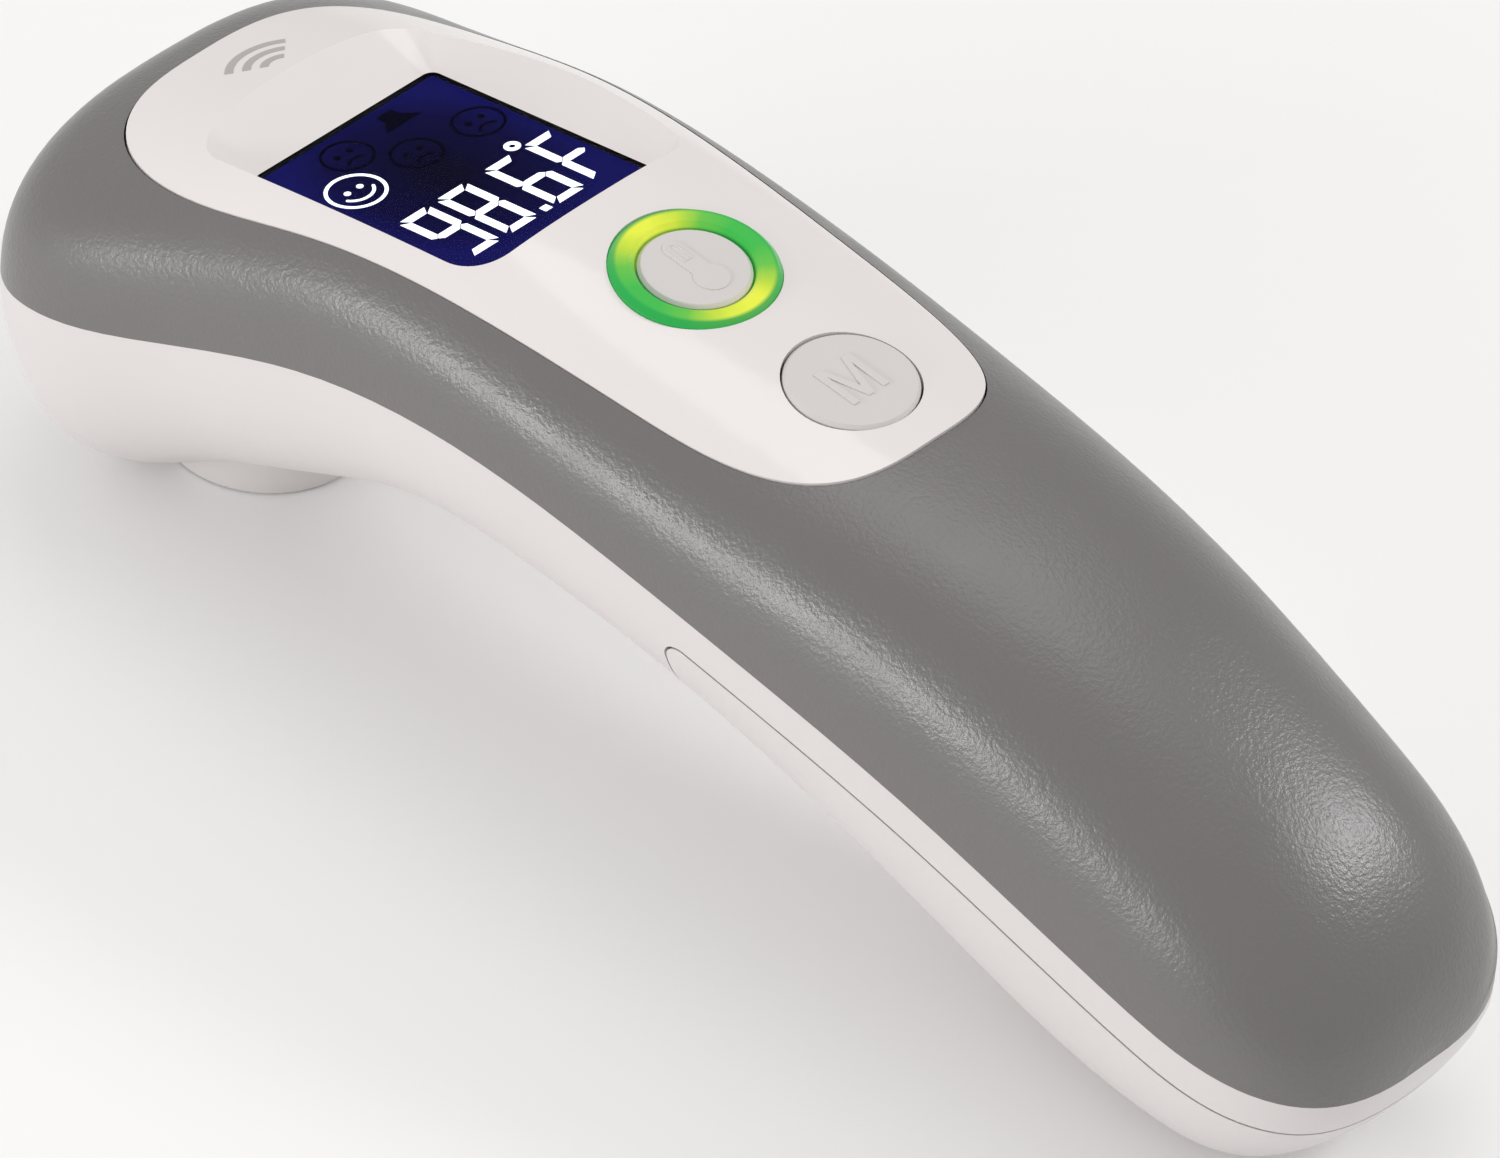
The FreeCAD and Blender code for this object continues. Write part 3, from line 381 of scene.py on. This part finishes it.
unlit = bmesh.new()
UNLIT_FACES = ((-5.4, 8.1), (-6.1, 1.3), (-10.6, -2.6))
SPEAKER = [(-12.9, 3.2), (-11.8, 3.2), (-10.4, 2.0), (-10.4, 6.2), (-11.8, 5.0), (-12.9, 5.0)]
for u, v in UNLIT_FACES:
    add_band(unlit, arc(u, v, 2.3, 56), 0.3, DISPLAY, LIT_LOW, LIT_HIGH, closed=True)
    for side in (-1, 1):
        add_tile(unlit, arc(u - 0.45, v + side * 0.77, 0.34, 16), DISPLAY, LIT_LOW, LIT_HIGH)
    add_band(unlit, arc(u + 1.9, v, 1.2, 18, 130, 100), 0.3, DISPLAY, LIT_LOW, LIT_HIGH)
add_tile(unlit, SPEAKER, DISPLAY, LIT_LOW, LIT_HIGH)
piece("display_unlit", unlit, UNLIT, "body")

# ---------------------------------------------------------------- signs on the keys

SIGN_LOW, SIGN_HIGH, SIGN_BEVEL = KEY_TOP - 0.05, KEY_TOP + 0.14, 0.09

BULB_U, BULB_R = 1.75, 1.6
TUBE_U, TUBE_V, TUBE_R = -2.7, 0.15, 0.98
SCREEN_U, SCREEN_FOOT, SCREEN_R, SCREEN_LINE = -2.75, -0.95, 0.42, 0.2
shoulder = math.degrees(math.asin(TUBE_R / BULB_R))
bulb = arc(BULB_U, TUBE_V, BULB_R, 36, -180 + shoulder, 360 - 2 * shoulder)
tube_end = arc(TUBE_U, TUBE_V, TUBE_R, 14, 90, 180)
screen = arc(SCREEN_U, TUBE_V, SCREEN_R, 10, 90, 180)
screen += [(SCREEN_FOOT, TUBE_V - SCREEN_R), (SCREEN_FOOT, TUBE_V + SCREEN_R)]
sign = bmesh.new()
add_tile(sign, bulb + tube_end, MEASURE, SIGN_LOW, SIGN_HIGH - 0.04)
add_band(sign, screen, SCREEN_LINE, MEASURE, SIGN_LOW, SIGN_HIGH + 0.02, closed=True)
piece("measure_sign", sign, KEY_GREY, "measure_button", bevel=SIGN_BEVEL)

M_TOP, M_FOOT, M_HALF, M_STROKE = -2.45, 2.3, 2.15, 0.72
M_SHOULDER, M_NOTCH, M_VALLEY, M_POINT = 0.95, 1.35, 1.15, 0.32
half_letter = [(M_FOOT - M_NOTCH, 0), (M_TOP, M_HALF - M_SHOULDER), (M_TOP, M_HALF),
               (M_FOOT, M_HALF), (M_FOOT, M_HALF - M_STROKE),
               (M_TOP + M_VALLEY, M_HALF - M_STROKE), (M_FOOT, M_POINT)]
letter = bmesh.new()
add_tile(letter, half_letter + [(u, -v) for u, v in half_letter[:0:-1]], MODE, SIGN_LOW, SIGN_HIGH)
piece("mode_sign", letter, KEY_GREY, "mode_button", bevel=SIGN_BEVEL)

# ---------------------------------------------------------------- marks on the face

faceplate = frame["nodes"]["faceplate"].data
face_tree = BVHTree.FromPolygons([v.co for v in faceplate.vertices],
                                 [p.vertices for p in faceplate.polygons])


def on_face(x, y):
    """The place on the faceplate above a point in plan, in mm, and its normal."""
    place, normal, *_ = face_tree.ray_cast(Vector((x * MM, y * MM, 0.1)), Vector((0, 0, -1)))
    return place, normal


def add_print(mesh, line, width, sunk=0.01, thickness=0.03):
    """A printed strip that follows the face under a line in plan, in mm."""
    points = [Vector(p) for p in line]
    last, strands = len(points) - 1, 5
    rows = []
    for i, point in enumerate(points):
        along = (points[min(i + 1, last)] - points[max(i - 1, 0)]).normalized()
        side = Vector((-along.y, along.x)) * width / 2
        row = []
        for k in range(strands):
            place, normal = on_face(*(point + side * (2 * k / (strands - 1) - 1)))
            row.append([mesh.verts.new(place + normal * MM * lift) for lift in (-sunk, thickness)])
        rows.append(row)
    for row, following in zip(rows, rows[1:]):
        for k in range(strands - 1):
            corners = (row[k], following[k], following[k + 1], row[k + 1])
            mesh.faces.new([c[1] for c in corners])
            mesh.faces.new([c[0] for c in corners[::-1]])
        for k in (0, strands - 1):
            mesh.faces.new((row[k][0], following[k][0], following[k][1], row[k][1]))
    for row in (rows[0], rows[-1]):
        for k in range(strands - 1):
            mesh.faces.new((row[k][0], row[k + 1][0], row[k + 1][1], row[k][1]))


WAVE_X, WAVE_Y, WAVE_SPREAD, WAVE_STEP, WAVE_WIDTH = -59.4, 1.0, 48, 6, 0.75
waves = bmesh.new()
angles = [math.radians(a) for a in range(-WAVE_SPREAD, WAVE_SPREAD + 1, WAVE_STEP)]
for radius in (1.6, 3.1, 4.6):
    add_print(waves, [(WAVE_X - radius * math.cos(a), WAVE_Y + radius * math.sin(a))
                      for a in angles], WAVE_WIDTH)
piece("head_mark", waves, GREY_INK, "body")

# ---------------------------------------------------------------- floor, light and camera

FLOOR_HALF, FLOOR_DROP = 6, 0.0002
OFF_WHITE = (1, 0.99, 0.98)

floor_mesh = bpy.data.meshes.new("floor")
plane = bmesh.new()
bmesh.ops.create_grid(plane, x_segments=1, y_segments=1, size=FLOOR_HALF)
plane.to_mesh(floor_mesh)
plane.free()
floor = bpy.data.objects.new("floor", floor_mesh)
floor.location.z = -FLOOR_DROP
bpy.context.scene.collection.objects.link(floor)
FLOOR = Shader("floor_pale", (0.93, 0.93, 0.93), 0.8)
FLOOR.drive("Base Color", FLOOR.ramp(FLOOR.noise(3, 2), (0.3, 0.945), (0.7, 0.955)))
floor_mesh.materials.append(FLOOR.material)

world = bpy.data.worlds.new("studio")
world.use_nodes = True
sky = world.node_tree.nodes["Background"]
sky.inputs["Color"].default_value = (*OFF_WHITE, 1)
sky.inputs["Strength"].default_value = 0.64
bpy.context.scene.world = world


def area_light(name, place, target, size, power, colour=(1, 1, 1)):
    """A rectangular light of a width and height in metres, turned to a target."""
    light = bpy.data.lights.new(name, "AREA")
    light.shape = "RECTANGLE"
    light.size, light.size_y = size
    light.energy, light.color = power, colour
    made = bpy.data.objects.new(name, light)
    made.location = place
    made.rotation_euler = (Vector(target) - Vector(place)).to_track_quat("-Z", "Y").to_euler()
    bpy.context.scene.collection.objects.link(made)


area_light("overhead", (-0.10, 0.12, 0.55), (0, 0, 0.02), (0.34, 0.34), 0.5, OFF_WHITE)
area_light("flank_strip", (-0.19, -0.54, 0.17), (0, -0.01, 0.03), (0.42, 0.09), 1.3)
area_light("tail_soft", (0.29, 0.39, 0.42), (0.06, 0, 0.03), (0.14, 0.14), 0.9)

AZIMUTH, ELEVATION, ROLL = (math.radians(a) for a in (39.809, 41.209, 5.296))
TARGET, DISTANCE = Vector((0, 0, 0.02485)), 1.1
right = Vector((math.cos(AZIMUTH), math.sin(AZIMUTH), 0))
back = Vector((math.sin(AZIMUTH) * math.cos(ELEVATION),
               -math.cos(AZIMUTH) * math.cos(ELEVATION), math.sin(ELEVATION)))
up = back.cross(right)
across = math.cos(ROLL) * right + math.sin(ROLL) * up
above = math.cos(ROLL) * up - math.sin(ROLL) * right
lens = bpy.data.cameras.new("camera")
lens.sensor_width, lens.lens = 36, 314.1
lens.shift_x, lens.shift_y = -0.0118, -0.0297
lens.clip_start, lens.clip_end = 0.05, 20
camera = bpy.data.objects.new("camera", lens)
camera.matrix_world = Matrix.Translation(TARGET + back * DISTANCE) @ Matrix(
    (across, above, back)).transposed().to_4x4()
bpy.context.scene.collection.objects.link(camera)
bpy.context.scene.camera = camera
bpy.context.scene.view_settings.view_transform = "Standard"
